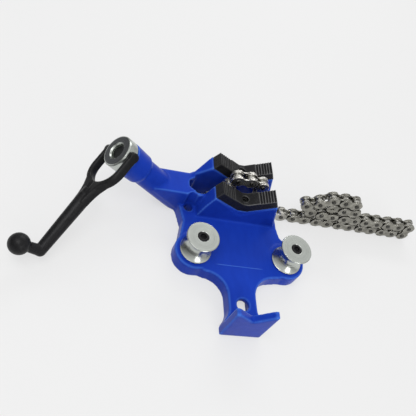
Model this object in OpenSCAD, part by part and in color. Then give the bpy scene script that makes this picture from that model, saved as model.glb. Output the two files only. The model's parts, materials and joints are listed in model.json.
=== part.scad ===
// Bench chain pipe vise: V jaws on a cast base, a draw screw and crank that
// tension a roller chain over the pipe, two bending rollers and a front pipe rest.
// Frame: X = 0 is the V plane, Y = 0 the roller line, Z = 0 the bench.
// The jaws' pipe axis runs along Y and the chain leaves on the +X side.

/* [Base plate] */
// Height of the plate's top above the bench
plate_top = 20.9; // [18:0.1:24]
// Thickness of the plate's top wall
plate_wall = 8.5; // [6:0.1:10]
// Thickness of the rim round the underside
rim_wall = 8; // [6:0.5:10]
// Distance of the left roller from the V plane
roller_left = 59; // [56:0.5:62]
// Distance of the right roller from the V plane
roller_right = 67.6; // [65:0.5:70]
// Radius of the plate's lobe round each roller
lobe_r = 26.5; // [25.5:0.1:28]
// Half-width of the plate's neck
neck_half = 18.7; // [17:0.1:21]
// Height of the round boss under each roller
roller_boss_h = 0.8; // [0.5:0.1:1.5]

/* [Pipe rest] */
// Distance from the roller line to the front of the pipe rest
rest_front = 102; // [98:0.5:106]
// Half-width of the pipe rest
rest_half = 26.6; // [24:0.1:29]
// Height of the bottom of the rest's V
rest_valley = 46.5; // [42:0.5:50]
// Slope of the rest's V
rest_slope = 32.5; // [28:0.5:34]
// Thickness of the rest's wall at its top
rest_wall = 9.6; // [8:0.1:12]

/* [Bolt holes] */
// Radius of the front bolt hole
front_hole_r = 8; // [6:0.1:8.5]
// Distance of the front bolt hole from the roller line
front_hole_y = 68.8; // [66:0.1:72]
// Radius of the two rear bolt holes
rear_hole_r = 6; // [5:0.1:6.5]

/* [Jaws] */
// Width of each jaw along the pipe
jaw_w = 19.7; // [18:0.1:21]
// Front face of the front jaw
jaw_front = 52.7; // [51:0.1:54]
// Gap between the jaws, where the chain runs
jaw_gap = 27.3; // [26.6:0.1:29]
// Slope of each side of the V
jaw_slope = 28.2; // [26:0.1:30]
// Thickness of the jaw bar
jaw_t = 14; // [13:0.1:15]
// Length of each tooth face from the point of the V
jaw_face = 41.3; // [38:0.1:43]
// Height of the point of the V
jaw_apex = 57.8; // [55:0.1:60]
// Half-width of the flat at the bottom of the V
jaw_flat = 3.7; // [3:0.1:4.5]
// Depth of the teeth
tooth_d = 1.2; // [0.8:0.1:1.6]
// Pitch of the teeth
tooth_p = 3.6; // [3:0.1:4.5]

/* [Rollers] */
// Radius of the rollers' top flange
roller_r = 21; // [19:0.1:22]
// Radius of the rollers' bottom flange
roller_low_r = 20.6; // [19:0.1:22]
// Height of the rollers
roller_h = 32.3; // [30:0.1:35]
// Radius of the rollers' waist
roller_waist = 13.2; // [12:0.1:16]
// Radius of the roller bolts' shoulder
shoulder_r = 5; // [4.5:0.1:5.3]
// Radius of the roller bolts' head
bolt_head_r = 6.25; // [5.8:0.05:7]

/* [Draw screw] */
// Slope of the screw
screw_slope = 38.2; // [37:0.1:39]
// Radius of the screw over its thread
screw_r = 10; // [9:0.1:10.4]
// Distance from the nut's face to the chain's first pin
screw_eye = 110; // [108:0.5:112]
// Depth of the screw's tip inside the nut
screw_tip = 4; // [2:0.5:6]
// Travel of the screw
screw_travel = 30; // [20:1:30]
// Travel for each turn of the nut
screw_lead = 5; // [3:0.5:6]

/* [Crank] */
// Radius of the nut
nut_r = 20.9; // [20:0.1:21.1]
// Length of the nut
nut_l = 15; // [14:0.1:16]
// Distance from the crank's pivot to its elbow
crank_l = 146; // [120:1:170]
// Radius of the crank's shaft
crank_r = 7.2; // [6:0.1:8]
// Radius of the ball
ball_r = 13.2; // [11:0.1:15]
// Distance from the elbow to the ball's centre
ball_reach = 27.5; // [24:0.5:34]

/* [Chain] */
// Pitch of the chain
pitch = 19.05; // [19.05:0.01:19.05]
// Height of the link plates
link_h = 16.6; // [15:0.1:16.6]
// Height of the plates at their waist
link_waist = 11; // [10:0.1:13]
// Thickness of the link plates
link_t = 1.9; // [1.6:0.1:1.9]
// Radius of the chain's pins
pin_r = 2.97; // [2.5:0.01:3.2]
// Length of the chain's pins
pin_l = 15.4; // [14:0.1:15.8]
// Width between the inner plates
inner_w = 5.5; // [5:0.1:5.5]
// Radius of the chain's rollers
bush_r = 5.95; // [5:0.05:6]

/* [Hidden] */
$fn = 64;
blue = [0.09, 0.2, 0.7];
black = [0.1, 0.1, 0.11];
steel = [0.7, 0.72, 0.7];
chain_grey = [0.48, 0.47, 0.42];
eps = 0.01;
run_fit = 0.05;    // radial clearance of what turns or slides
bolt_fit = 0.2;    // radial clearance of bolts in their holes
bolt_room = 1.2;   // relief beside the rear bolts above the plate
side_gap = 0.15;   // clearance between chain plates

// Rows of the base
jaw_back = jaw_front + jaw_w;
rear_front = jaw_back + jaw_gap;
rear_back = rear_front + jaw_w;
chain_y = (jaw_back + rear_front) / 2;
jaw_mid = 12.3;                     // thickness under the point of the V
seat_z = jaw_apex - jaw_mid;
seat_point = jaw_apex - jaw_t / cos(jaw_slope);
seat_half = (seat_z - seat_point) / tan(jaw_slope);
ledge_point = seat_point - 7;       // lowest point of the plinth's top edge
end_x = jaw_face * cos(jaw_slope) + jaw_t * sin(jaw_slope);
end_z = jaw_apex + jaw_face * sin(jaw_slope) - jaw_t * cos(jaw_slope);
ledge = 1.2;                        // plinth in front of the jaw faces
arm_top = 45;
arm_half = jaw_gap / 2 + 4.75;
arm_x = -118;
slot_x = -70.2;                     // end of the chain slot in the arm's top
slot_full = -61;                    // where the slot is as wide as the jaws' gap
bridge_half = 12;
bridge_top = 23;
way_half = 10.5;                    // half-width of the chain's room inside the arm
rear_edge = 150;
hole_left = [-65.8, 64.6];
hole_right = [38, 137];
left_edge = -73.6;
right_edge = 61.4;

// Screw frame: origin at the nut's face, +Z along the screw into the arm
nut_face = [-174.4, 83.0];
arm_front = chain_y - arm_half;
arm_back = chain_y + arm_half - 1.2;
arm_foot = -80;
arm_r = 17.2;
cavity_r = 13.5;
cavity_s = 64;                       // where the cavity starts, from the nut's face
cavity_x = -112;                    // left end of the room under the roof
cavity_foot = -91;
roof_t = 4;
pedestal_low = 56;
column_r = 16;
rib = 8;
ear_round = 13;
tip_round = 3;

// Jaw screws, roller bolts and nuts
jaw_screw_r = 3;
jaw_screw_end = 26;
jaw_head_r = 4.5;
jaw_head_z = 50.5;
jaw_head_h = 6;
roller_thread_r = 4;
bolt_head_h = 7;
nut_across = 13;
nut_high = 6.5;
nut_pocket = 10;
groove_r = 16;
groove_a = 52;
flange_t = 4;
waist_r = 7;

// Screw thread and keyway
thread_d = 1.6;
thread_l = 62;
keyway = 3;
bore_mouth = 11;
washer_t = 1.4;
boss_start = nut_l + washer_t + 0.1;
boss_end = 44;
boss_r = 21.2;
boss_low_r = 19.8;
tongue_half = inner_w / 2 + link_t;
tongue_l = 14;
key_s = 34;
key_w = 5;
pivot_s = 8;
pivot_turn = 220;
pivot_lean = -9;
pivot_r = 4;
pin_wall = 1.2;                     // steel left between the pivot pins and the screw
ear_in = nut_r + 0.8;
ear_t = 7;
ear_r = 8.5;
fork_t = 12.5;
fork_leg = 21.5;                    // length of the fork's straight legs
fork_end = 64;
neck_r = 5.2;
neck_bend = 17.5;

// Link directions, from the screw's eye to the free end
lay = [-9.3, -8.1, 28, 58, 74.4, 75.4, 1.6, -15.9, -79.9, -78.4, -58.9, -10.9, -2, 0.3,
       0, 0, 0, 0, 0, 0, 0, 0, 0, 0, 92.1, -179.6, -177.5, -178.2, -179.1, -179.7, 180,
       180, 177, 172.7, 135.6, 24.4, 37.3, 1.7, -6.1, -63.6, 178.9, 178.8];

// Points of an arc about c, from angle a0 to a1
function arc(c, r, a0, a1, n) =
    [for (i = [0:n]) c + r * [cos(a0 + (a1 - a0) * i / n), sin(a0 + (a1 - a0) * i / n)]];

// Places its children on the screw's axis, s from the nut's face
module on_screw(s = 0) {
    translate([nut_face[0], chain_y, nut_face[1]])
        rotate([0, 90 + screw_slope, 0])
            translate([0, 0, s])
                children();
}

// Places its children on the crank's pivot, +X along the pivot and +Y along the crank
module on_pivot() {
    on_screw(pivot_s)
        rotate([0, 0, pivot_turn])
            rotate([pivot_lean, 0, 0])
                children();
}

// Extrudes an outline drawn in X and Z between two places along Y
module row(y0, y1) {
    translate([0, y1, 0])
        rotate([90, 0, 0])
            linear_extrude(y1 - y0)
                children();
}

// ---- Base ----

module plate_outline() {
    polygon(concat(
        [[left_edge - 5.7, arm_front], [arm_foot, arm_front], [arm_foot, arm_back]],
        [[-62, rear_back + 4], [-30, rear_edge - 8]],
        arc(hole_right, ear_round, 120, -30, 8),
        [[right_edge - 3, rear_back + 4], [right_edge, 60], [right_edge, 50], [64, 36]],
        arc([roller_right, 0], lobe_r, 75, -105, 18),
        arc([neck_half + 29, -57], 29, 95, 180, 8),
        arc([neck_half + 24, -73], 24, 180, 225, 4),
        [[rest_half, 6 - rest_front], [rest_half, -rest_front]],
        [[-rest_half, -rest_front], [-rest_half, 6 - rest_front]],
        arc([-neck_half - 24, -73], 24, -45, 0, 4),
        arc([-neck_half - 29, -57], 29, 0, 85, 8),
        arc([-roller_left, 0], lobe_r, -75, -222, 18),
        [[left_edge, 43]]));
}

// Hollow under the plate, with ribs and bolt columns left standing
module underside() {
    difference() {
        translate([0, 0, -1])
            linear_extrude(plate_top - plate_wall + 1)
                offset(delta = -rim_wall)
                    plate_outline();
        for (x = [-roller_left, roller_right])
            translate([x, 0, -2])
                cylinder(r = column_r, h = plate_top);
        translate([hole_right[0], hole_right[1], -2])
            cylinder(r = ear_round, h = plate_top);
        translate([-roller_left, -rib / 2, -2])
            cube([roller_left + roller_right, rib, plate_top]);
        translate([-rib / 2, -rest_front, -2])
            cube([rib, rest_front - front_hole_y - front_hole_r - rib, plate_top]);
        translate([-arm_half - 60, jaw_front - ledge, -2])
            cube([200, jaw_w + ledge, plate_top]);
        translate([-arm_half - 60, rear_front, -2])
            cube([200, jaw_w + ledge, plate_top]);
        translate([-bridge_half, jaw_front, -2])
            cube([2 * bridge_half, rear_back - jaw_front, plate_top]);
    }
}

module pedestal(y0, y1, left_low, left_high) {
    row(y0, y1)
        polygon([[-pedestal_low, 1], [-pedestal_low, plate_top], left_low, left_high,
            [-end_x, end_z], [-seat_half, seat_z], [seat_half, seat_z], [end_x, end_z],
            [pedestal_low, plate_top], [pedestal_low, 1]]);
}

// The rear pedestal's left face runs from the arm's back edge to its own back corner
module rear_pedestal() {
    intersection() {
        pedestal(rear_front, rear_back + ledge, [-66, arm_top], [-end_x - 1, end_z]);
        translate([0, 0, -1])
            linear_extrude(100)
                polygon([[-120, rear_front - 1], [-66, arm_back], [-end_x - 1, rear_back + ledge],
                    [120, rear_back + ledge + 1], [120, rear_front - 1]]);
    }
}

module pipe_rest() {
    rise = rest_half * tan(rest_slope);
    translate([0, rest_wall - rest_front, 0])
        rotate([90, 0, 0])
            linear_extrude(rest_wall)
                polygon(concat([[-rest_half, 0]],
                    [[-rest_half, rest_valley + rise - tip_round]],
                    arc([tip_round - rest_half, rest_valley + rise - 1.7 * tip_round],
                        tip_round, 170, 60, 5),
                    arc([0, rest_valley + 2.2], 4, 180 + 90 - rest_slope, 360 - 90 + rest_slope, 5),
                    arc([rest_half - tip_round, rest_valley + rise - 1.7 * tip_round],
                        tip_round, 120, 10, 5),
                    [[rest_half, rest_valley + rise - tip_round], [rest_half, 0]]));
    // Fillet between the plate and the rest's back
    row_x(-neck_half, neck_half)
        polygon([[rest_wall - rest_front - 1, plate_top - 1], [rest_wall - rest_front - 1,
            plate_top + 6], [rest_wall - rest_front, plate_top + 6],
            [rest_wall - rest_front + 2, plate_top + 2], [rest_wall - rest_front + 6, plate_top],
            [rest_wall - rest_front + 6, plate_top - 1]]);
}

// Extrudes an outline drawn in Y and Z between two places along X
module row_x(x0, x1) {
    translate([x0, 0, 0])
        rotate([90, 0, 90])
            linear_extrude(x1 - x0)
                children();
}

module arm() {
    intersection() {
        union() {
            on_screw(boss_end - 6)
                cylinder(r = arm_r, h = 130);
            row(arm_front, arm_back)
                polygon([[arm_x, arm_top], [arm_x, axis_z(arm_x)], [slot_x, axis_z(slot_x)],
                    [slot_x + 25, 1], [-end_x - 2, 1], [-end_x - 2, arm_top]]);
        }
        translate([-160, 0, 0])
            cube([160, 200, 80]);
    }
    on_screw(boss_start)
        cylinder(r1 = boss_r, r2 = boss_low_r, h = boss_end - boss_start);
    on_screw(boss_end)
        cylinder(r1 = boss_low_r, r2 = arm_r - 1, h = 5);
}

// Height of the screw's axis at x
function axis_z(x) = nut_face[1] - (x - nut_face[0]) * tan(screw_slope);

// Room for the chain between the pedestals and inside the arm
module chain_way() {
    roof = arm_top - roof_t;
    // Under the arm's roof, following the bored cavity on the left
    row(chain_y - way_half, chain_y + way_half)
        polygon([[cavity_x, axis_z(cavity_x)], [cavity_x + 8, roof], [slot_full, roof],
            [slot_full, -1], [cavity_foot, -1], [cavity_foot, axis_z(cavity_foot)]]);
    row(jaw_back, rear_front) {
        polygon([[slot_full - eps, -1], [slot_full - eps, 100], [-bridge_half, 100],
            [-bridge_half, -1]]);
        polygon([[bridge_half, -1], [bridge_half, 100], [120, 100], [120, -1]]);
        polygon([[-bridge_half - 1, bridge_top], [-bridge_half - 1, 100],
            [bridge_half + 1, 100], [bridge_half + 1, bridge_top]]);
    }
    // Slot in the arm's roof, narrower towards its end
    translate([0, chain_y, roof - 1])
        linear_extrude(60)
            polygon([[slot_x, -4], [slot_x + 1, -6.2], [slot_x + 3, -7.6], [slot_full - 2, -10],
                [slot_full, -jaw_gap / 2], [slot_full, jaw_gap / 2], [slot_full - 2, 10],
                [slot_x + 3, 7.6], [slot_x + 1, 6.2], [slot_x, 4]]);
    on_screw(0)
        cylinder(r = screw_r + run_fit, h = cavity_s + 10);
    on_screw(cavity_s)
        cylinder(r = cavity_r, h = 70);
}

module base_casting() {
    color(blue)
    difference() {
        union() {
            linear_extrude(plate_top)
                plate_outline();
            for (x = [-roller_left, roller_right])
                translate([x, 0, plate_top - 1])
                    cylinder(r = lobe_r - 1, h = 1 + roller_boss_h);
            pedestal(jaw_front - ledge, jaw_back, [-pedestal_low + 5.6, arm_top],
                [-end_x - 1, end_z - 1]);
            rear_pedestal();
            pipe_rest();
            arm();
        }
        underside();
        chain_way();
        // Seats of the jaws
        for (y = [jaw_front, rear_front])
            row(y - eps, y + jaw_w + eps)
                polygon([[-end_x - 4, end_z + 2], [-end_x, end_z], [-seat_half, seat_z],
                    [seat_half, seat_z], [end_x, end_z], [end_x + 4, end_z + 2],
                    [end_x + 4, 110], [-end_x - 4, 110]]);
        // V edges of the plinths before and behind the jaws
        for (y = [jaw_front - ledge - 1, rear_back])
            row(y, y + ledge + 1)
                polygon([[-end_x, end_z], [0, ledge_point], [end_x, end_z], [end_x, 110],
                    [-end_x, 110]]);
        for (y = [jaw_front, rear_front])
            translate([0, y + jaw_w / 2, jaw_screw_end - 2])
                cylinder(r = jaw_screw_r + bolt_fit, h = 60);
        for (x = [-roller_left, roller_right])
            translate([x, 0, -1]) {
                cylinder(r = roller_thread_r + bolt_fit, h = 60);
                cylinder(r = nut_across / 2 / cos(30) + 2, h = 1 + nut_pocket);
            }
        translate([0, -front_hole_y, -1])
            cylinder(r = front_hole_r, h = 60);
        for (p = [hole_left, hole_right])
            translate([p[0], p[1], -1]) {
                cylinder(r = rear_hole_r, h = arm_top);
                translate([0, 0, 1 + plate_top])
                    cylinder(r = rear_hole_r + bolt_room, h = arm_top);
            }
        // Hole of the key screw
        on_screw(key_s)
            rotate([0, 90, 0])
                cylinder(r = key_w / 2 + bolt_fit, h = 40);
    }
}

// ---- Jaws ----

// Points of the tooth face, from the groove out to the tip, on one side
function face_point(t) = [t * cos(jaw_slope), jaw_apex + t * sin(jaw_slope)];
function notch_point(t) =
    face_point(t) + tooth_d * [sin(jaw_slope), -cos(jaw_slope)];
tooth_n = floor((jaw_face - 17) / tooth_p);
tooth_start = jaw_face - tooth_n * tooth_p;
face_side = concat([[jaw_flat, jaw_apex + jaw_flat * tan(jaw_slope)]],
    [for (i = [0:tooth_n - 1]) each [
        face_point(tooth_start + i * tooth_p),
        notch_point(tooth_start + (i + 0.1) * tooth_p),
        notch_point(tooth_start + (i + 0.3) * tooth_p)]],
    [face_point(jaw_face)]);

module jaw(y) {
    n = len(face_side);
    color(black)
    difference() {
        row(y, y + jaw_w)
            polygon(concat(face_side,
                [[end_x, end_z], [seat_half, seat_z], [-seat_half, seat_z], [-end_x, end_z]],
                [for (i = [n - 1:-1:0]) [-face_side[i][0], face_side[i][1]]]));
        translate([0, y + jaw_w / 2, 0]) {
            cylinder(r = jaw_screw_r + bolt_fit, h = 100);
            translate([0, 0, jaw_head_z])
                cylinder(r = jaw_head_r + bolt_fit, h = 60);
        }
    }
}

module jaw_screw(y) {
    color(black)
    difference() {
        translate([0, y + jaw_w / 2, 0]) {
            translate([0, 0, jaw_screw_end])
                cylinder(r = jaw_screw_r, h = jaw_head_z - jaw_screw_end + 1);
            translate([0, 0, jaw_head_z])
                cylinder(r = jaw_head_r, h = jaw_head_h);
        }
        translate([0, y + jaw_w / 2, jaw_head_z + jaw_head_h - 3])
            cylinder(r = 2.9, h = 5, $fn = 6);
    }
}

module front_jaw() { jaw(jaw_front); }
module rear_jaw() { jaw(rear_front); }
module front_jaw_screw() { jaw_screw(jaw_front); }
module rear_jaw_screw() { jaw_screw(rear_front); }

// ---- Rollers ----

roller_z = plate_top + roller_boss_h + 0.2;

module roller(x) {
    groove = arc([roller_waist + groove_r, roller_h / 2], groove_r, 180 + groove_a,
        180 - groove_a, 16);
    color(steel)
    translate([x, 0, roller_z])
        difference() {
            rotate_extrude($fn = 96)
                polygon(concat([[0, 0], [roller_low_r - 0.8, 0], [roller_low_r, 0.8],
                    [roller_low_r, flange_t - 1], [roller_low_r - 1.2, flange_t]],
                    groove,
                    [[roller_r - 1.2, roller_h - flange_t], [roller_r, roller_h - flange_t + 1],
                    [roller_r, roller_h - 0.8], [roller_r - 0.8, roller_h], [0, roller_h]]));
            translate([0, 0, -1])
                cylinder(r = shoulder_r + run_fit, h = roller_h + 2);
            translate([0, 0, roller_h - bolt_head_h - 0.4])
                cylinder(r = bolt_head_r + 0.25, h = bolt_head_h + 1);
            translate([0, 0, roller_h - 0.8])
                cylinder(r1 = bolt_head_r + 0.25, r2 = bolt_head_r + 1.25, h = 0.8 + eps);
        }
}

module roller_bolt(x) {
    top = roller_z + roller_h - 0.2;
    color(black)
    translate([x, 0, 0])
        difference() {
            union() {
                translate([0, 0, top - bolt_head_h])
                    cylinder(r = bolt_head_r, h = bolt_head_h);
                translate([0, 0, plate_top + roller_boss_h])
                    cylinder(r = shoulder_r, h = top - bolt_head_h - plate_top - roller_boss_h + 1);
                translate([0, 0, nut_pocket - nut_high - 1.5])
                    cylinder(r = roller_thread_r, h = plate_top - nut_pocket + nut_high + 5);
            }
            translate([0, 0, top - 3.5])
                cylinder(r = 4.6, h = 5, $fn = 6);
        }
}

module roller_nut(x) {
    color(steel)
    translate([x, 0, nut_pocket - nut_high])
        difference() {
            cylinder(r = nut_across / 2 / cos(30), h = nut_high, $fn = 6);
            translate([0, 0, -1])
                cylinder(r = roller_thread_r, h = nut_high + 2);
        }
}

module left_roller() { roller(-roller_left); }
module right_roller() { roller(roller_right); }
module left_roller_bolt() { roller_bolt(-roller_left); }
module right_roller_bolt() { roller_bolt(roller_right); }
module left_roller_nut() { roller_nut(-roller_left); }
module right_roller_nut() { roller_nut(roller_right); }

// ---- Screw, nut and crank ----

module thrust_washer() {
    color(steel)
    on_screw(nut_l + 0.05)
        difference() {
            cylinder(r = nut_r - 1.4, h = washer_t);
            translate([0, 0, -1])
                cylinder(r = screw_r + 0.3, h = washer_t + 2);
        }
}

module screw_key() {
    color(black)
    on_screw(key_s)
        rotate([0, 90, 0])
            difference() {
                translate([0, 0, screw_r - keyway + 0.3])
                    cylinder(r = key_w / 2, h = boss_low_r - screw_r + keyway - 1.5);
                translate([0, 0, boss_low_r - 3])
                    cylinder(r = 1.5, h = 5, $fn = 6);
            }
}

module draw_screw() {
    color(steel)
    on_screw(0)
        difference() {
            union() {
                rotate_extrude()
                    polygon(concat([[0, screw_tip], [screw_r - 1.5, screw_tip]],
                        [for (s = [screw_tip + 1.5:screw_lead / 2:screw_tip + thread_l]) each [
                            [screw_r, s], [screw_r, s + screw_lead * 0.15],
                            [screw_r - thread_d, s + screw_lead * 0.22],
                            [screw_r - thread_d, s + screw_lead * 0.4]]],
                        [[screw_r, screw_tip + thread_l + 3]],
                        [[screw_r, screw_eye - tongue_l], [0, screw_eye - tongue_l]]));
                // Tongue that holds the chain's first pin
                intersection() {
                    union() {
                        translate([-link_h / 2, -tongue_half, screw_eye - tongue_l - 1])
                            cube([link_h, 2 * tongue_half, tongue_l + 1]);
                        translate([0, 0, screw_eye])
                            rotate([90, 0, 0])
                                cylinder(r = link_h / 2, h = 2 * tongue_half, center = true);
                    }
                    translate([0, 0, screw_eye - tongue_l - 2])
                        cylinder(r = screw_r, h = 40);
                }
            }
            translate([0, 0, screw_eye])
                rotate([90, 0, 0])
                    cylinder(r = pin_r + run_fit, h = 40, center = true);
            // Keyway along the underside
            translate([screw_r - keyway, -key_w / 2 - 0.1, key_s - key_w / 2 - 1])
                cube([keyway + 1, key_w + 0.2, screw_travel + key_w + 2]);
        }
}

module crank_nut() {
    color(steel)
    on_screw(0)
        difference() {
            rotate_extrude($fn = 96)
                polygon([[screw_r + run_fit, 2.2], [bore_mouth, 0.6], [bore_mouth + 0.6, 0],
                    [nut_r - 2.4, 0], [nut_r - 0.7, 0.6], [nut_r, 2.2], [nut_r, nut_l - 0.6],
                    [nut_r - 0.6, nut_l], [screw_r + run_fit, nut_l]]);
            translate([0, 0, pivot_s])
                rotate([0, 0, pivot_turn])
                    rotate([0, 90, 0])
                        cylinder(r = pivot_r, h = 60, center = true);
        }
}

module crank_pivot_pins() {
    color(black)
    on_pivot()
        for (side = [-1, 1])
            rotate([0, 90 * side, 0])
                translate([0, 0, screw_r + pin_wall])
                    cylinder(r = pivot_r, h = ear_in + ear_t + 0.6 - screw_r - pin_wall);
}

// Outline of one leg and half of the crotch, in X and Y
module fork_side() {
    outer = ear_in + ear_t;
    polygon(concat(
        [[ear_in, 0], [ear_in, fork_leg]],
        arc([0, fork_leg], ear_in, 12, 90, 8),
        [[0, fork_end], [crank_r - 0.4, fork_end]],
        arc([crank_r + 12, fork_end + 1], 12, 180, 225, 5),
        arc([0, fork_leg], outer, 42, 8, 6),
        [[outer, fork_leg], [outer, 0]]));
}

module crank_handle() {
    color(black)
    on_pivot()
        difference() {
            union() {
                translate([0, 0, -fork_t / 2])
                    linear_extrude(fork_t) {
                        fork_side();
                        mirror([1, 0, 0])
                            fork_side();
                    }
                for (side = [-1, 1])
                    translate([side * (ear_in + ear_t / 2), 0, 0])
                        rotate([0, 90, 0])
                            cylinder(r = ear_r, h = ear_t, center = true);
                translate([0, fork_end - 6, 0])
                    rotate([-90, 0, 0])
                        cylinder(r = crank_r, h = crank_l - fork_end + 6);
                translate([0, crank_l, 0]) {
                    sphere(r = crank_r);
                    rotate([180 + neck_bend, 0, 0]) {
                        cylinder(r1 = crank_r - 0.6, r2 = neck_r, h = ball_reach);
                        translate([0, 0, ball_reach])
                            sphere(r = ball_r);
                    }
                }
            }
            rotate([0, 90, 0])
                cylinder(r = pivot_r + run_fit, h = 90, center = true);
        }
}

// ---- Chain ----

// Pin positions in X and Z, from the screw's eye
eye = [nut_face[0] + screw_eye * cos(screw_slope), nut_face[1] - screw_eye * sin(screw_slope)];
function pin_at(i) = i == 0 ? eye : pin_at(i - 1) + pitch * [cos(lay[i - 1]), sin(lay[i - 1])];

// One peanut-shaped plate between two pins, lying along +X
module plate_shape() {
    difference() {
        union() {
            circle(r = link_h / 2);
            translate([pitch, 0])
                circle(r = link_h / 2);
            translate([0, -link_h / 2])
                square([pitch, link_h]);
        }
        for (side = [-1, 1])
            translate([pitch / 2, side * (link_waist / 2 + waist_r)])
                circle(r = waist_r);
    }
}

module link_plates(inside) {
    for (y = [inside, -inside - link_t])
        translate([0, y + link_t, 0])
            rotate([90, 0, 0])
                linear_extrude(link_t)
                    plate_shape();
}

module inner_link() {
    difference() {
        union() {
            link_plates(inner_w / 2);
            for (x = [0, pitch])
                translate([x, 0, 0])
                    rotate([90, 0, 0])
                        cylinder(r = bush_r, h = inner_w + 1, center = true);
        }
        for (x = [0, pitch])
            translate([x, 0, 0])
                rotate([90, 0, 0])
                    cylinder(r = pin_r + run_fit, h = 40, center = true);
    }
}

module outer_link() {
    link_plates(inner_w / 2 + link_t + side_gap);
    for (x = [0, pitch])
        translate([x, 0, 0])
            rotate([90, 0, 0])
                cylinder(r = pin_r, h = pin_l, center = true);
}

module chain_link(number) {
    i = number - 1;
    p = pin_at(i);
    color(chain_grey)
    translate([p[0], chain_y, p[1]])
        rotate([0, -lay[i], 0])
            if (i % 2 == 0)
                outer_link();
            else
                inner_link();
}

module chain_link_01() { chain_link(1); }
module chain_link_02() { chain_link(2); }
module chain_link_03() { chain_link(3); }
module chain_link_04() { chain_link(4); }
module chain_link_05() { chain_link(5); }
module chain_link_06() { chain_link(6); }
module chain_link_07() { chain_link(7); }
module chain_link_08() { chain_link(8); }
module chain_link_09() { chain_link(9); }
module chain_link_10() { chain_link(10); }
module chain_link_11() { chain_link(11); }
module chain_link_12() { chain_link(12); }
module chain_link_13() { chain_link(13); }
module chain_link_14() { chain_link(14); }
module chain_link_15() { chain_link(15); }
module chain_link_16() { chain_link(16); }
module chain_link_17() { chain_link(17); }
module chain_link_18() { chain_link(18); }
module chain_link_19() { chain_link(19); }
module chain_link_20() { chain_link(20); }
module chain_link_21() { chain_link(21); }
module chain_link_22() { chain_link(22); }
module chain_link_23() { chain_link(23); }
module chain_link_24() { chain_link(24); }
module chain_link_25() { chain_link(25); }
module chain_link_26() { chain_link(26); }
module chain_link_27() { chain_link(27); }
module chain_link_28() { chain_link(28); }
module chain_link_29() { chain_link(29); }
module chain_link_30() { chain_link(30); }
module chain_link_31() { chain_link(31); }
module chain_link_32() { chain_link(32); }
module chain_link_33() { chain_link(33); }
module chain_link_34() { chain_link(34); }
module chain_link_35() { chain_link(35); }
module chain_link_36() { chain_link(36); }
module chain_link_37() { chain_link(37); }
module chain_link_38() { chain_link(38); }
module chain_link_39() { chain_link(39); }
module chain_link_40() { chain_link(40); }
module chain_link_41() { chain_link(41); }
module chain_link_42() { chain_link(42); }

base_casting();
front_jaw();
rear_jaw();
front_jaw_screw();
rear_jaw_screw();
left_roller();
right_roller();
left_roller_bolt();
right_roller_bolt();
left_roller_nut();
right_roller_nut();
thrust_washer();
screw_key();
draw_screw();
crank_nut();
crank_pivot_pins();
crank_handle();
chain_link_01();
chain_link_02();
chain_link_03();
chain_link_04();
chain_link_05();
chain_link_06();
chain_link_07();
chain_link_08();
chain_link_09();
chain_link_10();
chain_link_11();
chain_link_12();
chain_link_13();
chain_link_14();
chain_link_15();
chain_link_16();
chain_link_17();
chain_link_18();
chain_link_19();
chain_link_20();
chain_link_21();
chain_link_22();
chain_link_23();
chain_link_24();
chain_link_25();
chain_link_26();
chain_link_27();
chain_link_28();
chain_link_29();
chain_link_30();
chain_link_31();
chain_link_32();
chain_link_33();
chain_link_34();
chain_link_35();
chain_link_36();
chain_link_37();
chain_link_38();
chain_link_39();
chain_link_40();
chain_link_41();
chain_link_42();
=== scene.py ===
# %% [markdown]
# # A chain pipe vise
#
# The vise is a painted iron casting that carries two toothed V jaws, two
# spool-shaped bending rollers, a slanted arm with a draw screw, a nut with a
# folding crank, and a long roller chain. The solids come from the CAD model,
# already at their real size in metres, so this script gives them their
# finishes, adds the small parts that the solids leave out, and sets up the
# light and the camera.

# %% Load the solids
import json
import math

import bpy
from mathutils import Matrix, Vector


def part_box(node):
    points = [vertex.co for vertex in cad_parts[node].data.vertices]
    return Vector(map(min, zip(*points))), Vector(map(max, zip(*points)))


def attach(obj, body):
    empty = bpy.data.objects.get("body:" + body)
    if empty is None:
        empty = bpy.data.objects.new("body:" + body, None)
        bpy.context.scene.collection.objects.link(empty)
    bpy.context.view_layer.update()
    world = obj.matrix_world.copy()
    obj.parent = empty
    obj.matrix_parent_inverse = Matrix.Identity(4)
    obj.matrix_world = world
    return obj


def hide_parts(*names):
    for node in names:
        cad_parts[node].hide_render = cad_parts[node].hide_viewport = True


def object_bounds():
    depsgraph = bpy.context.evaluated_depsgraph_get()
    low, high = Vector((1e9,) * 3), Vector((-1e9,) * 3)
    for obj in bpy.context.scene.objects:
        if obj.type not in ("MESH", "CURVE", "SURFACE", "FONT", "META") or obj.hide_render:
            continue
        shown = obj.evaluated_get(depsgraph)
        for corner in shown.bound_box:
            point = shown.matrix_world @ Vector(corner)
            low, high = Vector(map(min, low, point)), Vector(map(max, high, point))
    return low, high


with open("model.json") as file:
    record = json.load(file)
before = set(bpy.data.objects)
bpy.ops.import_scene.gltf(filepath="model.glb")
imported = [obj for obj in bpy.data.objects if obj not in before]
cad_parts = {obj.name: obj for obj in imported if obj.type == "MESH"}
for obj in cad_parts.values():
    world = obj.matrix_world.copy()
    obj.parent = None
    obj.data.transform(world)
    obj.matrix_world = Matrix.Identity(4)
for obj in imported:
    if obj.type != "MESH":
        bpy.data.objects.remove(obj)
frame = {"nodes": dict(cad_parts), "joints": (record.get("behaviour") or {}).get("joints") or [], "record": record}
nodes = frame["nodes"]
cad_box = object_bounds()
MM = 0.001
SAME_POINT = 0.01 * MM
CHAIN = sorted(name for name in nodes if name.startswith("chain_link_"))
low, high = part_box(CHAIN[0])
CHAIN_MIDDLE = (low[1] + high[1]) / 2
print("solids:", len(nodes), "chain links:", len(CHAIN))

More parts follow.
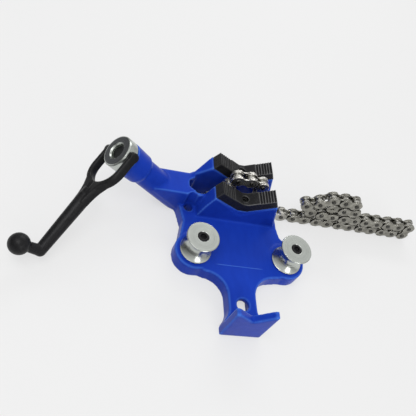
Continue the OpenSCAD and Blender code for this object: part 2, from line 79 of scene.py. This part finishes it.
# %% [markdown]
# ## Castings and forgings have no sharp edges
#
# The base is poured in a sand mould and the crank is forged, so every corner of
# them is rounded, outside and inside. Bevelling each edge by hand would be
# possible, but on a body with ribs, bosses and slots a voxel remesh is surer: the
# solid is copied, rebuilt from small even faces, and smoothed a few times, which
# rounds what stands out and fills what lies in.

# %% Rounded copies of solids
body_of_node = {
    node: body
    for body, members in frame["record"]["behaviour"]["bodies"].items()
    for node in members}


def alone(thing):
    bpy.ops.object.select_all(action="DESELECT")
    thing.select_set(True)
    bpy.context.view_layer.objects.active = thing


def copy_of(node, name):
    mesh = nodes[node].data.copy()
    piece = bpy.data.objects.new(name, mesh)
    bpy.context.collection.objects.link(piece)
    alone(piece)
    bpy.ops.object.mode_set(mode="EDIT")
    bpy.ops.mesh.select_all(action="SELECT")
    bpy.ops.mesh.remove_doubles(threshold=SAME_POINT)
    bpy.ops.object.mode_set(mode="OBJECT")
    return piece


def apply_modifier(piece, kind, **settings):
    modifier = piece.modifiers.new(kind.lower(), kind)
    for key, value in settings.items():
        setattr(modifier, key, value)
    alone(piece)
    bpy.ops.object.modifier_apply(modifier=modifier.name)


def ride_instead(piece, node):
    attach(piece, body_of_node[node])
    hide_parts(node)


def rounded_copy(node, name, voxel, rounds):
    piece = copy_of(node, name)
    apply_modifier(piece, "REMESH", mode="VOXEL", voxel_size=voxel, adaptivity=0.0)
    apply_modifier(piece, "SMOOTH", factor=0.5, iterations=rounds)
    bpy.ops.object.shade_smooth()
    ride_instead(piece, node)
    print(name, "faces:", len(piece.data.polygons))
    return piece


cast_body = rounded_copy("base_casting", "cast_body", 1.4 * MM, 6)
forged_jaws = [
    rounded_copy("front_jaw", "forged_front_jaw", 0.5 * MM, 3),
    rounded_copy("rear_jaw", "forged_rear_jaw", 0.5 * MM, 3)]

# %% [markdown]
# ## The spools come off a lathe
#
# A bending roller is a spool: a thin lip at the top and the bottom, and between
# them a waist that flares out like a trumpet, in which the pipe lies. Its half
# section is drawn as a closed loop of points and the Screw modifier turns that
# loop round the axis, as a lathe would. The step inside holds the bolt's head.
# The power in the flare decides its form: 2 would be a parabola, and a smaller
# one is straighter.

# %% Spools
SPOOL_STEPS = 128
LIP = 2.0 * MM
WAIST = 11.0 * MM
CHAMFER = 0.7 * MM
FLARE = 1.7
FLARE_STEPS = 12
BORE = 5.05 * MM
HEAD_ROOM = 6.5 * MM
HEAD_DEPTH = 7.4 * MM


def spool(node, name):
    low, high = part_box(node)
    middle = (low + high) / 2
    tall, wide = high[2] - low[2], (high[0] - low[0]) / 2
    foot = wide - 0.4 * MM
    # How far the curve goes out and up from the waist to a lip
    dip, half = wide - 1.0 * MM - WAIST, tall / 2 - LIP
    section = [(BORE, 0), (foot - CHAMFER, 0), (foot, CHAMFER), (foot, LIP - 0.4 * MM)]
    for step in range(2 * FLARE_STEPS + 1):
        rise = step / FLARE_STEPS - 1
        section.append((WAIST + dip * abs(rise) ** FLARE, tall / 2 + half * rise))
    section += [(wide, tall - LIP + 0.4 * MM), (wide, tall - CHAMFER), (wide - CHAMFER, tall),
                (HEAD_ROOM + 1 * MM, tall), (HEAD_ROOM, tall - 1 * MM),
                (HEAD_ROOM, tall - HEAD_DEPTH), (BORE, tall - HEAD_DEPTH)]
    mesh = bpy.data.meshes.new(name)
    count = len(section)
    mesh.from_pydata([(r, 0, h) for r, h in section],
                     [(i, (i + 1) % count) for i in range(count)], [])
    piece = bpy.data.objects.new(name, mesh)
    bpy.context.collection.objects.link(piece)
    apply_modifier(piece, "SCREW", axis="Z", angle=math.tau, steps=SPOOL_STEPS,
                   use_merge_vertices=True, merge_threshold=SAME_POINT)
    piece.location = (middle[0], middle[1], low[2])
    bpy.ops.object.transform_apply(location=True)
    bpy.ops.object.mode_set(mode="EDIT")
    bpy.ops.mesh.select_all(action="SELECT")
    bpy.ops.mesh.normals_make_consistent(inside=False)
    bpy.ops.object.mode_set(mode="OBJECT")
    bpy.ops.object.shade_smooth_by_angle(angle=math.radians(25))
    ride_instead(piece, node)
    print(name, "faces:", len(piece.data.polygons))
    return piece


spools = {side: spool(side + "_roller", side + "_spool") for side in ("left", "right")}

# %% [markdown]
# ## A drop-forged crank
#
# The crank is forged in one piece: a fork whose legs clasp the nut, a long
# neck that flows out of the fork, a round shaft, and a ball on a short bent
# stem. Each of these is modelled on its own, in the crank's own directions,
# with X along its pivot and Y along the shaft. A voxel remesh then welds them
# into one skin and some smoothing draws the fillets that a forging die leaves.

# %% Crank
FORK_INSIDE = 21.7 * MM
FORK_OUTSIDE = 28.7 * MM
FORK_STRAIGHT = 24.5 * MM
SHAFT_END = 147 * MM
SHAFT_RADIUS = 7.2 * MM
NECK_RADIUS = 9.6 * MM
BALL_RADIUS = 12.6 * MM
STEM_LENGTH = 27.5 * MM
STEM_BEND = math.radians(197.5)
FORK_THICK = 11.6 * MM
SCREW_SLOPE = 38.2
PIVOT_TURN = 220
PIVOT_LEAN = -9

fold = next(joint for joint in frame["joints"] if joint["name"] == "crank_fold")
crank_frame = (
    Matrix.Translation(fold["pos_m"])
    @ Matrix.Rotation(math.radians(90 + SCREW_SLOPE), 4, "Y")
    @ Matrix.Rotation(math.radians(PIVOT_TURN), 4, "Z")
    @ Matrix.Rotation(math.radians(PIVOT_LEAN), 4, "X"))


def arc(middle, radius, start, end, steps=10):
    turns = [math.radians(start + (end - start) * i / steps) for i in range(steps + 1)]
    return [(radius * math.cos(t), middle + radius * math.sin(t)) for t in turns]


def bar(name, outline, thick):
    """A flat bar from an outline in X and Y, with well rounded edges."""
    mesh = bpy.data.meshes.new(name)
    mesh.from_pydata([(x, y, -thick / 2) for x, y in outline], [], [range(len(outline))])
    piece = bpy.data.objects.new(name, mesh)
    bpy.context.collection.objects.link(piece)
    apply_modifier(piece, "SOLIDIFY", thickness=thick, offset=-1.0)
    low = min(v.co.z for v in piece.data.vertices)
    piece.location = (0, 0, -thick / 2 - low)
    bpy.ops.object.transform_apply(location=True)
    apply_modifier(piece, "BEVEL", width=2.6 * MM, segments=3, limit_method="ANGLE",
                   angle_limit=math.radians(60))
    return piece


def rod(start, end, first, last):
    """A round rod between two points, tapering from radius first to last."""
    start, end = Vector(start), Vector(end)
    bpy.ops.mesh.primitive_cone_add(
        vertices=48, radius1=first, radius2=last, depth=(end - start).length,
        location=(start + end) / 2,
        rotation=(end - start).to_track_quat("Z", "Y").to_euler())
    return bpy.context.object


def ball(middle, radius):
    bpy.ops.mesh.primitive_uv_sphere_add(segments=48, ring_count=24, radius=radius,
                                         location=middle)
    return bpy.context.object


right_side = (
    [(FORK_INSIDE, 0)] + arc(FORK_STRAIGHT, FORK_INSIDE, 0, 90)
    + [(0, 78 * MM), (9.2 * MM, 78 * MM), (9.9 * MM, 70 * MM), (11.2 * MM, 63 * MM),
       (13.2 * MM, 56.5 * MM), (16.0 * MM, 51.0 * MM)]
    + arc(FORK_STRAIGHT, FORK_OUTSIDE, 50, 0) + [(FORK_OUTSIDE, 0)])
left_side = [(-x, y) for x, y in right_side]
elbow = Vector((0, SHAFT_END, 0))
stem = Vector((0, -math.sin(STEM_BEND), math.cos(STEM_BEND)))
parts = [
    bar("fork_right", right_side, FORK_THICK),
    bar("fork_left", left_side[::-1], FORK_THICK),
    rod((0, 58 * MM, 0), elbow, NECK_RADIUS - 1.5 * MM, SHAFT_RADIUS),
    rod((0, 66 * MM, 0), elbow, NECK_RADIUS - 0.6 * MM, SHAFT_RADIUS),
    ball(elbow, SHAFT_RADIUS),
    rod(elbow, elbow + stem * STEM_LENGTH, SHAFT_RADIUS - 0.4 * MM, 5.8 * MM),
    ball(elbow + stem * STEM_LENGTH, BALL_RADIUS)]
for side in (-1, 1):
    parts.append(rod((side * FORK_INSIDE, 0, 0), (side * FORK_OUTSIDE, 0, 0), 7 * MM, 6.2 * MM))
bpy.ops.object.select_all(action="DESELECT")
for part in parts:
    part.select_set(True)
bpy.context.view_layer.objects.active = parts[0]
bpy.ops.object.join()
forged_crank = bpy.context.object
forged_crank.name = "forged_crank"
apply_modifier(forged_crank, "REMESH", mode="VOXEL", voxel_size=0.7 * MM, adaptivity=0.0)
apply_modifier(forged_crank, "SMOOTH", factor=0.5, iterations=10)
forged_crank.data.transform(crank_frame)
forged_crank.data.update()
bpy.ops.object.shade_smooth()
ride_instead(forged_crank, "crank_handle")
print("forged_crank faces:", len(forged_crank.data.polygons))

# %% Pivot studs, whose ends stay inside the fork's eyes
studs = []
for side in (-1, 1):
    stud = rod((side * 11.4 * MM, 0, 0), (side * (FORK_OUTSIDE - 2 * MM), 0, 0), 4 * MM, 4 * MM)
    studs.append(stud)
alone(studs[0])
studs[1].select_set(True)
bpy.ops.object.join()
pivot_studs = bpy.context.object
pivot_studs.name = "pivot_studs"
bpy.ops.object.transform_apply(location=True, rotation=True)
pivot_studs.data.transform(crank_frame)
ride_instead(pivot_studs, "crank_pivot_pins")

# %% [markdown]
# ## Writing finishes as expressions
#
# A finish is a small calculation: how far is this point from the axis, how
# strong is the grain here, how much of the light grey shows at the edge. The
# class below wraps a node's output, so such a calculation can be written with
# the usual signs, and each sign adds the Math node that does it.

# %% Sizes of what only this script draws
PANEL_Y = 16.8 * MM
PANEL_LINE = 0.8 * MM
PANEL_HALF = 33 * MM

# %% A socket that can be calculated with
class Flow:
    """A number that runs through the shader, as an output socket."""

    def __init__(self, finish, socket):
        self.finish = finish
        self.socket = socket

    def _math(self, operation, *values):
        node = self.finish.add("Math", {"operation": operation}, dict(enumerate(values)))
        return Flow(self.finish, node.outputs[0])

    def __add__(self, other):
        return self._math("ADD", self, other)

    __radd__ = __add__

    def __sub__(self, other):
        return self._math("SUBTRACT", self, other)

    def __rsub__(self, other):
        return self._math("SUBTRACT", other, self)

    def __mul__(self, other):
        return self._math("MULTIPLY", self, other)

    __rmul__ = __mul__

    def __truediv__(self, other):
        return self._math("DIVIDE", self, other)

    def __pow__(self, other):
        return self._math("POWER", self, other)

    def abs(self):
        return self._math("ABSOLUTE", self)

    def clamp(self):
        return self._math("MINIMUM", self._math("MAXIMUM", self, 0.0), 1.0)

    def ramp(self, low, high):
        """0 below low, 1 above high, straight in between."""
        return ((self - low) / (high - low)).clamp()


# %% A finish and its nodes
class Finish:
    """One material, with the node types that the finishes here share."""

    def __init__(self, name, **sockets):
        self.material = bpy.data.materials.new(name)
        self.material.use_nodes = True
        self.tree = self.material.node_tree
        self.shader = self.tree.nodes["Principled BSDF"]
        self.set(**sockets)
        place = self.add("TexCoord")
        self.place = place.outputs["Object"]

    def add(self, kind, settings=None, inputs=None):
        node = self.tree.nodes.new("ShaderNode" + kind)
        for key, value in (settings or {}).items():
            setattr(node, key, value)
        for key, value in (inputs or {}).items():
            self.feed(node.inputs[key], value)
        return node

    def feed(self, socket, value):
        if isinstance(value, Flow):
            value = value.socket
        if isinstance(value, bpy.types.NodeSocket):
            self.tree.links.new(value, socket)
        else:
            socket.default_value = value

    def set(self, **sockets):
        for key, value in sockets.items():
            self.feed(self.shader.inputs[key.replace("_", " ")], value)

    def noise(self, size, detail=3.0, rough=0.5, stretch=None):
        """Noise whose lumps are about size metres across, from 0 to 1."""
        place = self.place
        if stretch:
            place = self.add("Mapping", None, {"Vector": place, "Scale": stretch}).outputs[0]
        node = self.add("TexNoise", None, {
            "Vector": place, "Scale": 1 / size, "Detail": detail, "Roughness": rough})
        return Flow(self, node.outputs["Fac"])

    def coordinates(self):
        split = self.add("SeparateXYZ", None, {0: self.place})
        return [Flow(self, out) for out in split.outputs]

    def blend(self, amount, first, second):
        node = self.add("Mix", {"data_type": "RGBA"}, {0: amount, 6: first, 7: second})
        return node.outputs[2]

    def edges(self, radius):
        """1 on the edges of the solid, fading out over about radius metres."""
        soft = self.add("Bevel", {"samples": 6}, {"Radius": radius})
        plain = self.add("NewGeometry")
        dot = self.add("VectorMath", {"operation": "DOT_PRODUCT"}, {
            0: soft.outputs[0], 1: plain.outputs["Normal"]})
        return (1 - Flow(self, dot.outputs["Value"])).clamp(), soft.outputs[0]

    def corners(self, low=0.52, high=0.60):
        """1 on the rounded edges of a finely meshed piece."""
        node = self.add("NewGeometry")
        return Flow(self, node.outputs["Pointiness"]).ramp(low, high)

    def hollows(self, reach):
        """1 where other surfaces stand within about reach metres, 0 in the open."""
        node = self.add("AmbientOcclusion", {"samples": 6}, {"Distance": reach})
        return 1 - Flow(self, node.outputs["AO"])

    def relief(self, height, depth, normal=None):
        """Bump from a height of 0 to 1 that stands for depth metres."""
        inputs = {"Height": height, "Distance": depth, "Strength": 1.0}
        if normal is not None:
            inputs["Normal"] = normal
        node = self.add("Bump", None, inputs)
        self.set(Normal=node.outputs[0])

    def put_on(self, *names):
        for name in names:
            mesh = nodes[name].data if isinstance(name, str) else name.data
            mesh.materials.clear()
            mesh.materials.append(self.material)


def shade(value, tint=(1.0, 1.0, 1.0)):
    return (value * tint[0], value * tint[1], value * tint[2], 1.0)


# %% [markdown]
# ## Blue enamel on cast iron
#
# The base is cast in sand and sprayed with a thick glossy blue. Sand leaves a
# shallow, uneven grain that the paint rounds off, so two sizes of noise feed
# the bump: lumps of a few millimetres and a finer skin. The sharp edges are
# coloured paler, a painted highlight.

# %% Enamel
enamel = Finish("blue_enamel", Specular_IOR_Level=0.14, Specular_Tint=(0.22, 0.45, 1.0, 1))
edge = enamel.corners(0.51, 0.57)
patches = enamel.noise(60 * MM, detail=2)
streaks = enamel.noise(9 * MM, detail=3, stretch=(1.0, 0.35, 1.0))
grain = enamel.noise(5 * MM, detail=4, rough=0.6)
skin = enamel.noise(1.1 * MM, detail=2)
deep = enamel.blend(patches * 0.6 + streaks * 0.4, (0.005, 0.022, 0.26, 1),
                    (0.013, 0.057, 0.50, 1))
pale = (0.10, 0.27, 0.82, 1)
enamel.set(Roughness=0.22 + grain * 0.20)

# %% The bare label panel's raised lower edge
x, y, z = enamel.coordinates()
on_line = 1 - ((y + PANEL_Y).abs() / PANEL_LINE).clamp()
on_panel = on_line * (1 - (x.abs() / PANEL_HALF) ** 8).clamp()
# The sharp edges blend towards the pale blue, a painted highlight.
enamel.set(Base_Color=enamel.blend(
    on_panel * 0.45, enamel.blend(edge * 0.65, deep, pale), pale))
enamel.relief(grain * 0.35 + skin * 0.15 + on_panel * 0.7, 0.35 * MM)
enamel.put_on(cast_body)

# %% [markdown]
# ## Blackened steel
#
# Jaws, crank and bolts are oiled black steel. The jaws are forged and
# slightly scaly, so their roughness varies in patches, and the teeth and
# corners rub bare to a dull grey. On the jaws that bare grey is weakened on
# the V's left arm, a painted shade.

# %% Black finishes
def blackened(name, base, rough, scale_size, scale_depth, wear, bare=0.14, fine_mesh=True,
              left_arm_shade=False):
    finish = Finish(name, Metallic=0.0, Specular_IOR_Level=0.18)
    if fine_mesh:
        edge, rounded = finish.corners(0.50, 0.56), None
    else:
        edge, rounded = finish.edges(0.9 * MM)
        edge = (edge * 6).clamp()
    patches = finish.noise(14 * MM, detail=4, rough=0.6)
    scale = finish.noise(scale_size, detail=4, rough=0.65)
    cool = (1.0, 1.0, 1.12)
    black = finish.blend((patches * 0.4 + scale * 0.6).ramp(0.3, 0.7), shade(base * 0.3, cool),
                         shade(base * 2.2, cool))
    # Painted shade: on the jaws the bare grey drops to 0.3 of its strength on the V's left arm, at negative X.
    if left_arm_shade:
        x = finish.coordinates()[0]
        edge = edge * (0.3 + 0.7 * x.ramp(-4 * MM, 4 * MM))
    worn = (edge * (patches + 0.25) * wear).clamp()
    finish.set(Base_Color=finish.blend(worn, black, shade(bare)),
               Roughness=rough + scale * 0.25)
    finish.relief(scale, scale_depth, rounded)
    return finish


# The jaws get the painted shade on the left arm of the V.
jaw_steel = blackened("jaw_steel", 0.009, 0.30, 1.8 * MM, 0.4 * MM, 1.2, bare=0.20,
                      left_arm_shade=True)
jaw_steel.put_on(*forged_jaws)
crank_steel = blackened("crank_steel", 0.006, 0.28, 2.5 * MM, 0.08 * MM, 0.12)
crank_steel.put_on(forged_crank)
bolt_black = blackened("bolt_black", 0.006, 0.30, 1.2 * MM, 0.03 * MM, 0.25, fine_mesh=False)
bolt_black.put_on("front_jaw_screw", "rear_jaw_screw", "left_roller_bolt",
                  "right_roller_bolt", "screw_key", pivot_studs)

# %% [markdown]
# ## Turned steel
#
# Rollers and nut come from a lathe, whose tool leaves fine rings round the
# axis of the piece. The distance of a point from that axis drives a noise of
# one dimension, so every ring is a little different, as real tool marks are.
# A second set of rings, three times finer, only feeds the bump: it spreads the
# reflections into the wedges that turned metal shows. The spools' waists are
# painted darker where an Ambient Occlusion node finds surfaces close by, a
# painted shade, and the edges are lightened, a painted highlight.

# %% Turned finish round an axis
def turned(name, centre, axis, base, rough, ring=0.9 * MM, face=None, waist_shade=0.0):
    """Ring-marked steel; face gives an end face's depth and brightness."""
    finish = Finish(name, Metallic=1.0)
    edge, rounded = finish.edges(0.5 * MM)
    axis = Vector(axis).normalized()
    x, y, z = finish.coordinates()
    dx, dy, dz = x - centre[0], y - centre[1], z - centre[2]
    along = dx * axis[0] + dy * axis[1] + dz * axis[2]
    away = dx * dx + dy * dy + dz * dz - along * along
    radius = away.abs() ** 0.5

    def rings(size):
        node = finish.add("TexNoise", {"noise_dimensions": "1D"}, {
            "W": (radius + along) / size, "Scale": 1.0, "Detail": 2.0})
        return Flow(finish, node.outputs["Fac"])

    marks, scratches = rings(ring), rings(ring / 3)
    smudge = finish.noise(12 * MM, detail=3)
    tint = (0.95, 1.0, 0.94)
    colour = finish.blend(marks * 0.8 + smudge * 0.2, shade(base * 0.5, tint),
                          shade(base * 1.3, tint))
    if face is not None:
        depth, bright = face
        end_grey = finish.blend(marks, shade(bright * 0.6, (0.95, 1, 1.05)),
                            shade(bright * 1.4, (0.95, 1, 1.05)))
        colour = finish.blend(1 - along.ramp(depth, depth + 0.2 * MM), colour, end_grey)
    # Painted shade: the spools' waists darken towards 0.04 grey where the AO node finds surfaces close by.
    if waist_shade > 0:
        waist_shade_mask = finish.hollows(14 * MM).ramp(0.1, 0.6) * waist_shade
        colour = finish.blend(waist_shade_mask, colour, shade(0.04, tint))
    # Painted highlight: the edges are lightened towards 0.85 grey.
    finish.set(Base_Color=finish.blend((edge * 4).clamp() * 0.6, colour, shade(0.85)),
               Roughness=rough + marks * 0.10 + smudge * 0.08)
    finish.relief(marks * 0.5 + scratches * 0.5, 0.05 * MM, rounded)
    return finish


def centre_of(name):
    low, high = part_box(name)
    return (low + high) / 2


joint_of = {joint["name"]: joint for joint in frame["joints"]}
for side in ("left", "right"):
    name = side + "_roller"
    turned(name + "_steel", centre_of(name), (0, 0, 1), 0.60, 0.14, waist_shade=0.6).put_on(spools[side])
    turned(side + "_nut_steel", centre_of(name + "_nut"), (0, 0, 1), 0.5, 0.3).put_on(name + "_nut")
spin = joint_of["nut_spin"]
# The nut's front face is coloured a darker grey than its side.
turned("crank_nut_steel", spin["pos_m"], spin["axis"], 0.62, 0.22,
       face=(0.15 * MM, 0.11)).put_on("crank_nut")
# Painted shade: the draw screw's end, within 4.2 mm of the nut's face and so deep in the bore, is coloured nearly
# black.
turned("draw_screw_steel", spin["pos_m"], spin["axis"], 0.34, 0.3,
       face=(4.2 * MM, 0.03)).put_on("draw_screw", "thrust_washer")

# %% [markdown]
# ## Oiled chain steel
#
# The chain's plates are punched from strip, and the whole chain is dipped in
# oil that turns it a warm grey. The gaps between the plates are painted nearly
# black where an Ambient Occlusion node finds surfaces close by, a painted shade,
# and the pin ends are coloured nearly black too. The rollers and the edges are
# lightened, a painted highlight, and the stretch up to where the chain leaves
# the jaws is lighter, fading back to the warm grey further out.

# %% Chain finish
chain = Finish("oiled_chain", Metallic=1.0)
edge, rounded = chain.edges(0.7 * MM)
stain = chain.noise(7 * MM, detail=4, rough=0.6)
grit = chain.noise(1.3 * MM, detail=3)
# The chain is lighter up to 60 mm along X, where it leaves the jaws, and back to its grey by 90 mm.
LIGHTER_STRETCH_END = 60 * MM
LIGHTER_FADE_END = 90 * MM
x, y, z = chain.coordinates()
across = (y - CHAIN_MIDDLE).abs()
between = 1 - across.ramp(2.4 * MM, 3.2 * MM)
pin_end = across.ramp(6.75 * MM, 6.85 * MM)
warm = chain.blend(stain.ramp(0.3, 0.7), shade(0.15, (1.0, 0.96, 0.82)),
                   shade(0.37, (1.0, 0.98, 0.86)))
warm = chain.blend(1 - x.ramp(LIGHTER_STRETCH_END, LIGHTER_FADE_END), warm, shade(0.62, (1.0, 0.98, 0.92)))
# Painted highlight: the rollers' band across the middle of the chain is lightened.
warm = chain.blend(between * 0.8, warm, shade(0.66, (1.0, 0.99, 0.93)))
# Painted highlight: the edges are lightened.
warm = chain.blend((edge * 5).clamp() * 0.7, warm, shade(0.80, (1, 0.98, 0.92)))
# Nearly black, for the painted shade in the gaps and for the pin ends.
chain_near_black = shade(0.02, (1.0, 0.94, 0.85))
# Painted shade: darker where the AO node finds surfaces close by.
warm = chain.blend(chain.hollows(4 * MM).ramp(0.15, 0.65) * 0.9, warm, chain_near_black)
chain.set(Base_Color=chain.blend(pin_end * 0.85, warm, chain_near_black),
          Roughness=0.20 + grit * 0.16)
chain.relief(grit, 0.03 * MM, rounded)
chain.put_on(*CHAIN)

# %% [markdown]
# ## The photographer's table
#
# The vise stands on a seamless pale sweep. The floor takes a soft shadow, and
# where the camera or a mirror-like surface sees the world behind it, it sees
# the same pale grey.

# %% Floor
bpy.ops.object.select_all(action="DESELECT")
bpy.ops.mesh.primitive_plane_add(size=8, location=(0, 0, -0.0002))
floor = bpy.context.object
floor.name = "floor"
paper = Finish("pale_paper", Roughness=0.9, Specular_IOR_Level=0.1)
paper.set(Base_Color=shade(0.83))
ray = paper.add("LightPath").outputs
seen = (Flow(paper, ray["Is Camera Ray"]) + Flow(paper, ray["Is Glossy Ray"])
        + Flow(paper, ray["Is Transmission Ray"])).clamp()
PAPER_GLOW = 0.84
glow = paper.add("Emission", None, {"Color": shade(PAPER_GLOW), "Strength": 1.0})
mixed = paper.add("MixShader", None, {
    0: seen * 0.72, 1: paper.shader.outputs[0], 2: glow.outputs[0]})
paper.tree.links.new(mixed.outputs[0], paper.tree.nodes["Material Output"].inputs[0])
floor.data.materials.append(paper.material)

# %% World, dark near the horizon and more so on the crank's side
world = bpy.data.worlds.new("studio")
bpy.context.scene.world = world
world.use_nodes = True
sky = world.node_tree
back = sky.nodes["Background"]
back.inputs["Color"].default_value = shade(0.80)
place = sky.nodes.new("ShaderNodeTexCoord")
split = sky.nodes.new("ShaderNodeSeparateXYZ")
rise = sky.nodes.new("ShaderNodeMapRange")
rise.interpolation_type = "SMOOTHSTEP"
HORIZON, OVERHEAD = 0.10, 0.95
for key, value in {"From Min": 0.0, "From Max": 0.60,
                   "To Min": HORIZON, "To Max": OVERHEAD}.items():
    rise.inputs[key].default_value = value
sky.links.new(place.outputs["Generated"], split.inputs[0])
tilt = sky.nodes.new("ShaderNodeMath")
tilt.operation = "MULTIPLY_ADD"
tilt.inputs[1].default_value = 0.2
sky.links.new(split.outputs["X"], tilt.inputs[0])
sky.links.new(split.outputs["Z"], tilt.inputs[2])
sky.links.new(tilt.outputs[0], rise.inputs["Value"])
sky.links.new(rise.outputs[0], back.inputs["Strength"])
seen = sky.nodes.new("ShaderNodeLightPath").outputs["Is Camera Ray"]
backdrop = sky.nodes.new("ShaderNodeBackground")
backdrop.inputs["Color"].default_value = shade(PAPER_GLOW)
either = sky.nodes.new("ShaderNodeMixShader")
for key, socket in enumerate((seen, back.outputs[0], backdrop.outputs[0])):
    sky.links.new(socket, either.inputs[key])
sky.links.new(either.outputs[0], sky.nodes["World Output"].inputs["Surface"])
print("world: strength", HORIZON, "at the horizon,", OVERHEAD, "overhead")

# %% Lamps
def lamp(name, place, target, size, power):
    light = bpy.data.lights.new(name, "AREA")
    light.shape = "RECTANGLE"
    light.size, light.size_y = size
    light.energy = power
    holder = bpy.data.objects.new(name, light)
    bpy.context.collection.objects.link(holder)
    holder.location = place
    aim = Vector(target) - Vector(place)
    holder.rotation_euler = aim.to_track_quat("-Z", "Y").to_euler()


middle = (cad_box[0] + cad_box[1]) / 2
lamp("key_softbox", (-0.5, -0.3, 1.5), middle, (0.9, 0.6), 9)
lamp("front_fill", (0.5, -1.4, 0.7), middle, (0.8, 0.5), 4)
lamp("rim_strip", (0.3, 1.2, 0.9), middle, (1.0, 0.25), 5)

# %% [markdown]
# ## The camera
#
# The camera's place, turn and lens were worked out from the photograph: the
# positions of the rollers, jaws, nut and pipe rest fix all of them.

# %% Camera
lens = bpy.data.cameras.new("photo_camera")
lens.sensor_width = 36
lens.lens = 45.712
camera = bpy.data.objects.new("photo_camera", lens)
bpy.context.collection.objects.link(camera)
turn = Matrix((
    (0.941955, -0.144072, -0.303012),
    (-0.055212, 0.824730, -0.562880),
    (0.330969, 0.546935, 0.768914)))
camera.matrix_world = Matrix.Translation((-0.252939, -0.331885, 0.566438)) @ turn.to_4x4()
lens.clip_start = 0.01
bpy.context.scene.camera = camera
bpy.context.scene.view_settings.view_transform = "Standard"
